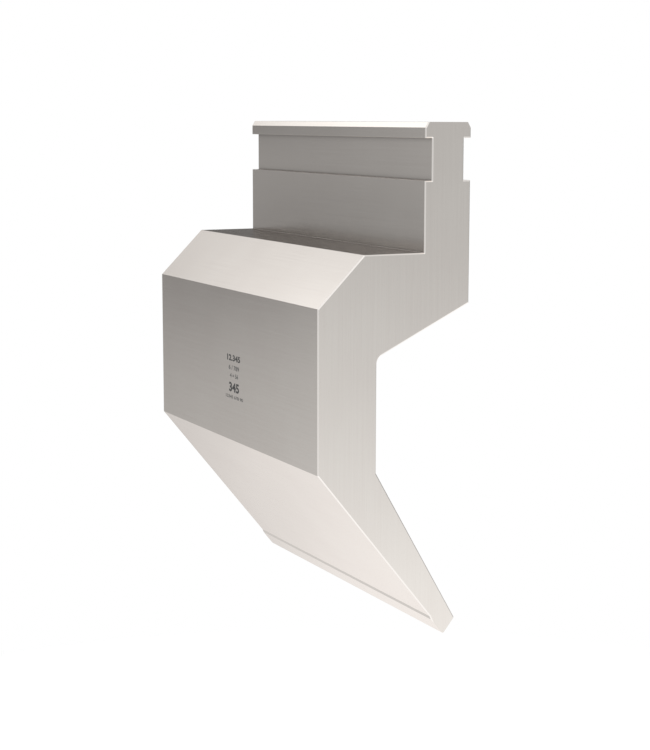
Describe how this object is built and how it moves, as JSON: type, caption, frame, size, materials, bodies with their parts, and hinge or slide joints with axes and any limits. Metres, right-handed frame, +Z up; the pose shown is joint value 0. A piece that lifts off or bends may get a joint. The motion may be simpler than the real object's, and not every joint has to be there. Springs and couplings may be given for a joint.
{
  "type": "press brake punch",
  "caption": "Gooseneck press brake punch segment: grooved tang with a T-shaped head, load shoulder, open throat at the back and a ground bending nose.",
  "frame": {"origin": "mid-length of the punch, on the tang's centre plane, level with the load shoulder", "axes": "+Z up along the tang into the upper beam, -Y the marked front face, +Y the open throat, X along the bending line"},
  "size_m": [0.2, 0.0815, 0.25],
  "materials": {
    "ground_tool_steel": "fine ground tool steel, satin, with bright edge chamfers",
    "laser_mark": "dark matt laser marking of plain numbers"
  },
  "bodies": {
    "root": {"punch_body": "ground_tool_steel"}
  },
  "joints": []
}
